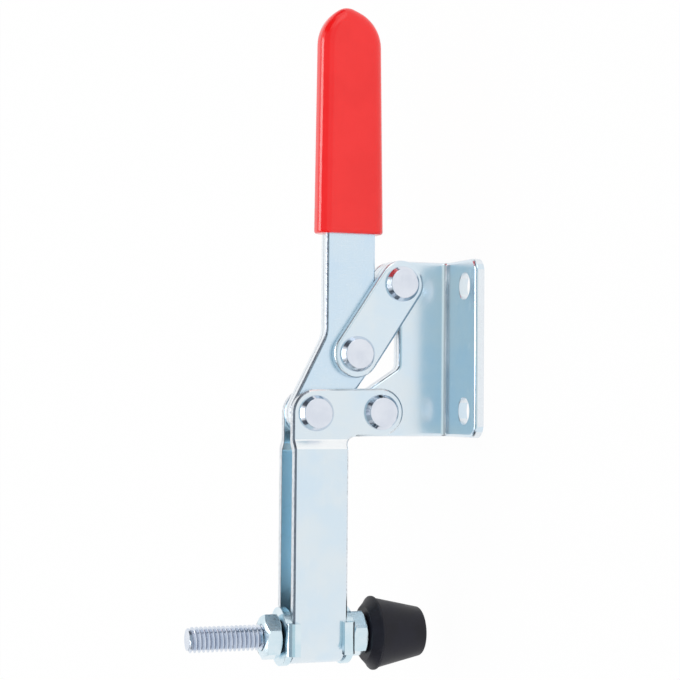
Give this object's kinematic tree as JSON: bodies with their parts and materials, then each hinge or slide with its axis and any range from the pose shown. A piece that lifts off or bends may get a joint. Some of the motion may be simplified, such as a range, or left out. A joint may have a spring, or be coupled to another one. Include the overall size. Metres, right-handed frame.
{
  "type": "toggle clamp",
  "caption": "Horizontal-handle toggle clamp: folded U-bar arm, flanged base, laminated handle with dipped grip, over-centre links and a rubber-tipped threaded spindle.",
  "frame": {"origin": "centre of the base's four bolt holes, on the mounting face", "axes": "+Z away from the mounting face, +X from the arm towards the handle, symmetric about Y = 0"},
  "size_m": [0.2103, 0.0526, 0.0876],
  "materials": {
    "zinc_plate": "bright zinc-plated pressed steel, slightly blue",
    "zinc_rivet": "zinc-plated, flat heads",
    "zinc_fastener": "blue-bright zinc-plated",
    "red_vinyl": "gloss dipped vinyl",
    "black_rubber": "satin moulded rubber"
  },
  "bodies": {
    "base": {"base_plate_near": "zinc_plate", "base_plate_far": "zinc_plate", "rivet_base_arm": "zinc_rivet"},
    "arm": {"u_bar": "zinc_plate", "rivet_arm_handle": "zinc_rivet"},
    "handle": {"handle_plate_near": "zinc_plate", "handle_plate_far": "zinc_plate", "handle_grip": "red_vinyl", "rivet_link_handle": "zinc_rivet"},
    "link": {"link_plate_near": "zinc_plate", "link_plate_far": "zinc_plate", "rivet_base_link": "zinc_rivet"},
    "washers": {"flanged_washer_upper": "zinc_fastener", "flanged_washer_lower": "zinc_fastener"},
    "nut_below": {"nut_lower": "zinc_fastener"},
    "nut_above": {"nut_upper": "zinc_fastener"},
    "spindle": {"spindle_bolt": "zinc_fastener", "rubber_tip": "black_rubber"}
  },
  "joints": [
    {"name": "arm_pivot", "type": "hinge", "parent": "base", "child": "arm", "pos_m": [-0.0203, 0, 0.0262], "axis": [0, 1, 0], "range_deg": [0, 65]},
    {"name": "handle_pivot", "type": "hinge", "parent": "arm", "child": "handle", "pos_m": [-0.0207, 0, 0.0479], "axis": [0, -1, 0], "range_deg": [0, 128.6]},
    {"name": "link_pivot", "type": "hinge", "parent": "handle", "child": "link", "pos_m": [-0.002, 0, 0.0344], "axis": [0, 1, 0], "range_deg": [0, 118]},
    {"name": "washers_slide", "type": "slide", "parent": "arm", "child": "washers", "axis": [1, 0, 0], "range_m": [0, 0.04]},
    {"name": "nut_lower_turn", "type": "hinge", "parent": "washers", "child": "nut_below", "pos_m": [-0.0903, 0, 0.033], "axis": [0, 0, 1], "range_deg": [0, 5100]},
    {"name": "nut_upper_turn", "type": "hinge", "parent": "washers", "child": "nut_above", "pos_m": [-0.0903, 0, 0.06], "axis": [0, 0, 1], "range_deg": [0, 5101]},
    {"name": "spindle_travel", "type": "slide", "parent": "washers", "child": "spindle", "axis": [0, 0, -1], "range_m": [0, 0.02]}
  ],
  "couplings": [
    {"joint": "handle_pivot", "follows": "arm_pivot", "ratio": 1.9762},
    {"joint": "link_pivot", "follows": "arm_pivot", "ratio": 1.8142},
    {"joint": "nut_upper_turn", "follows": "nut_lower_turn", "ratio": 1},
    {"joint": "spindle_travel", "follows": "nut_lower_turn", "m_per_rad": 0.00022459}
  ]
}
